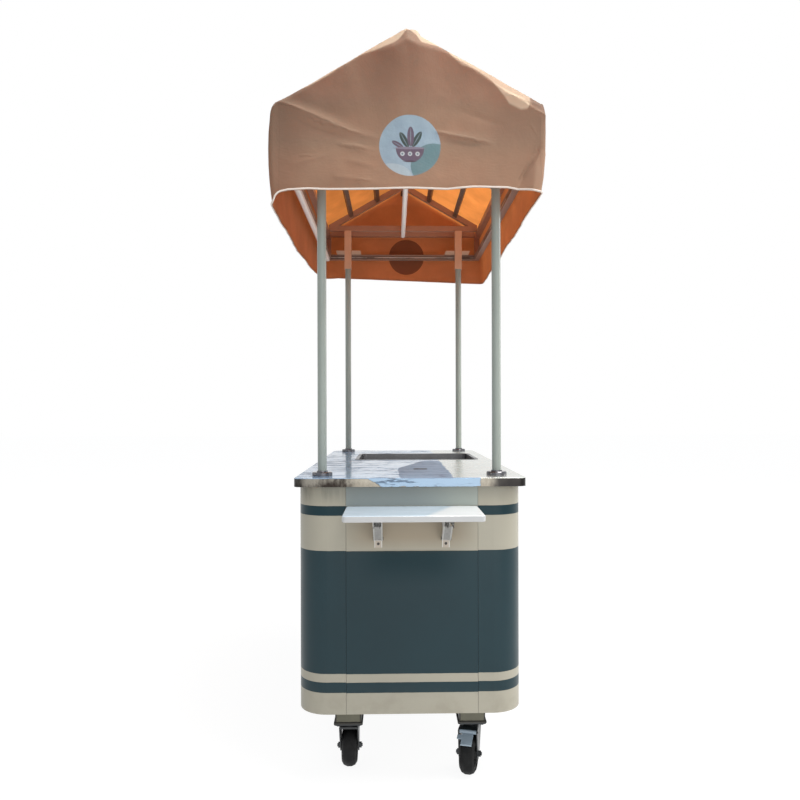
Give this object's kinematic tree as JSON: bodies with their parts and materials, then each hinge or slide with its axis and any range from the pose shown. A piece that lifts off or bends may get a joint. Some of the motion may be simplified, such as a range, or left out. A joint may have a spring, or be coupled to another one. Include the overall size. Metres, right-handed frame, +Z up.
{
  "type": "food cart",
  "caption": "Push-along food cart: rounded sheet cabinet on swivel casters, steel counter with a sunk pan, folding end shelf and a gabled canvas canopy on posts.",
  "frame": {"origin": "on the floor under the middle of the whole outline", "axes": "+Z up, +X to the operator's side with the doors, -Y to the end with the folding shelf"},
  "size_m": [0.817, 1.726, 2.2572],
  "materials": {
    "cabinet_paint": "satin",
    "frame_paint": "satin",
    "galvanised": "matte",
    "post_paint": "satin",
    "canopy_paint": "satin",
    "canvas": "matte",
    "stainless": "brushed",
    "board": "matte",
    "shelf_white": "satin",
    "chrome": "polished",
    "zinc": "satin",
    "bracket_paint": "satin",
    "lamp_white": "matte",
    "wheel_core": "matte",
    "tyre": "matte"
  },
  "bodies": {
    "cart": {"base_rails": "frame_paint", "cabinet_uprights": "frame_paint", "canopy_corner_struts": "canopy_paint", "canopy_cover": "canvas", "canopy_lower_rails": "canopy_paint", "canopy_posts": "post_paint", "canopy_purlins": "canopy_paint", "canopy_rafters": "canopy_paint", "canopy_upper_rails": "canopy_paint", "caster_bolts": "zinc", "caster_plates": "zinc", "caster_risers": "frame_paint", "corner_panels": "cabinet_paint", "counter_board": "board", "counter_sheet": "stainless", "customer_side_panel": "cabinet_paint", "floor_pan": "galvanised", "food_pan": "stainless", "front_end_panel": "cabinet_paint", "hinge_leaves": "zinc", "hinge_pins": "zinc", "inner_shelf": "galvanised", "king_pins": "zinc", "light_battens": "lamp_white", "operator_side_panel": "cabinet_paint", "post_flanges": "chrome", "post_sleeves": "canopy_paint", "rear_end_panel": "cabinet_paint", "shelf_pins": "zinc", "shelf_wall_plates": "bracket_paint", "top_rails": "frame_paint"},
    "front_left_swivel": {"front_left_fork": "zinc", "front_left_axle": "zinc"},
    "front_left_wheel": {"front_left_hub": "wheel_core", "front_left_tyre": "tyre"},
    "front_left_brake": {"front_left_pedal": "zinc"},
    "front_right_swivel": {"front_right_fork": "zinc", "front_right_axle": "zinc"},
    "front_right_wheel": {"front_right_hub": "wheel_core", "front_right_tyre": "tyre"},
    "front_right_brake": {"front_right_pedal": "zinc"},
    "rear_left_swivel": {"rear_left_fork": "zinc", "rear_left_axle": "zinc"},
    "rear_left_wheel": {"rear_left_hub": "wheel_core", "rear_left_tyre": "tyre"},
    "rear_right_swivel": {"rear_right_fork": "zinc", "rear_right_axle": "zinc"},
    "rear_right_wheel": {"rear_right_hub": "wheel_core", "rear_right_tyre": "tyre"},
    "shelf": {"shelf_board": "shelf_white", "shelf_arms": "bracket_paint"},
    "left_shelf_strut": {"left_strut": "bracket_paint"},
    "right_shelf_strut": {"right_strut": "bracket_paint"},
    "front_door": {"front_door": "cabinet_paint", "front_door_leaves": "zinc", "front_door_handle": "chrome"},
    "rear_door": {"rear_door": "cabinet_paint", "rear_door_leaves": "zinc", "rear_door_handle": "chrome"}
  },
  "joints": [
    {"name": "front_left_swivel", "type": "hinge", "parent": "cart", "child": "front_left_swivel", "pos_m": [-0.192, -0.542, 0.15], "axis": [0, 0, 1], "continuous": true},
    {"name": "front_left_roll", "type": "hinge", "parent": "front_left_swivel", "child": "front_left_wheel", "pos_m": [-0.192, -0.51, 0.0625], "axis": [-1, 0, 0], "continuous": true},
    {"name": "front_left_brake_press", "type": "hinge", "parent": "front_left_swivel", "child": "front_left_brake", "pos_m": [-0.192, -0.494, 0.134], "axis": [-1, 0, 0], "range_deg": [0, 11]},
    {"name": "front_right_swivel", "type": "hinge", "parent": "cart", "child": "front_right_swivel", "pos_m": [0.192, -0.542, 0.15], "axis": [0, 0, 1], "continuous": true},
    {"name": "front_right_roll", "type": "hinge", "parent": "front_right_swivel", "child": "front_right_wheel", "pos_m": [0.18372, -0.57291, 0.0625], "axis": [0.9659, -0.2588, 0], "continuous": true},
    {"name": "front_right_brake_press", "type": "hinge", "parent": "front_right_swivel", "child": "front_right_brake", "pos_m": [0.17958, -0.58836, 0.134], "axis": [0.9659, -0.2588, 0], "range_deg": [0, 11]},
    {"name": "rear_left_swivel", "type": "hinge", "parent": "cart", "child": "rear_left_swivel", "pos_m": [-0.192, 0.698, 0.15], "axis": [0, 0, 1], "continuous": true},
    {"name": "rear_left_roll", "type": "hinge", "parent": "rear_left_swivel", "child": "rear_left_wheel", "pos_m": [-0.192, 0.73, 0.0625], "axis": [-1, 0, 0], "continuous": true},
    {"name": "rear_right_swivel", "type": "hinge", "parent": "cart", "child": "rear_right_swivel", "pos_m": [0.192, 0.698, 0.15], "axis": [0, 0, 1], "continuous": true},
    {"name": "rear_right_roll", "type": "hinge", "parent": "rear_right_swivel", "child": "rear_right_wheel", "pos_m": [0.192, 0.73, 0.0625], "axis": [-1, 0, 0], "continuous": true},
    {"name": "shelf_fold", "type": "hinge", "parent": "cart", "child": "shelf", "pos_m": [0.005, -0.676, 0.817], "axis": [1, 0, 0], "range_deg": [0, 90]},
    {"name": "left_strut_fold", "type": "hinge", "parent": "cart", "child": "left_shelf_strut", "pos_m": [-0.0965, -0.676, 0.752], "axis": [1, 0, 0], "range_deg": [0, 125.85]},
    {"name": "right_strut_fold", "type": "hinge", "parent": "cart", "child": "right_shelf_strut", "pos_m": [0.1065, -0.676, 0.752], "axis": [1, 0, 0], "range_deg": [0, 125.85]},
    {"name": "front_door_swing", "type": "hinge", "parent": "cart", "child": "front_door", "pos_m": [0.345, -0.494, 0.5985], "axis": [0, 0, -1], "range_deg": [0, 110]},
    {"name": "rear_door_swing", "type": "hinge", "parent": "cart", "child": "rear_door", "pos_m": [0.345, 0.65, 0.5985], "axis": [0, 0, 1], "range_deg": [0, 110]}
  ],
  "couplings": [
    {"joint": "left_strut_fold", "follows": "shelf_fold", "ratio": 1.3982},
    {"joint": "right_strut_fold", "follows": "shelf_fold", "ratio": 1.3982}
  ]
}
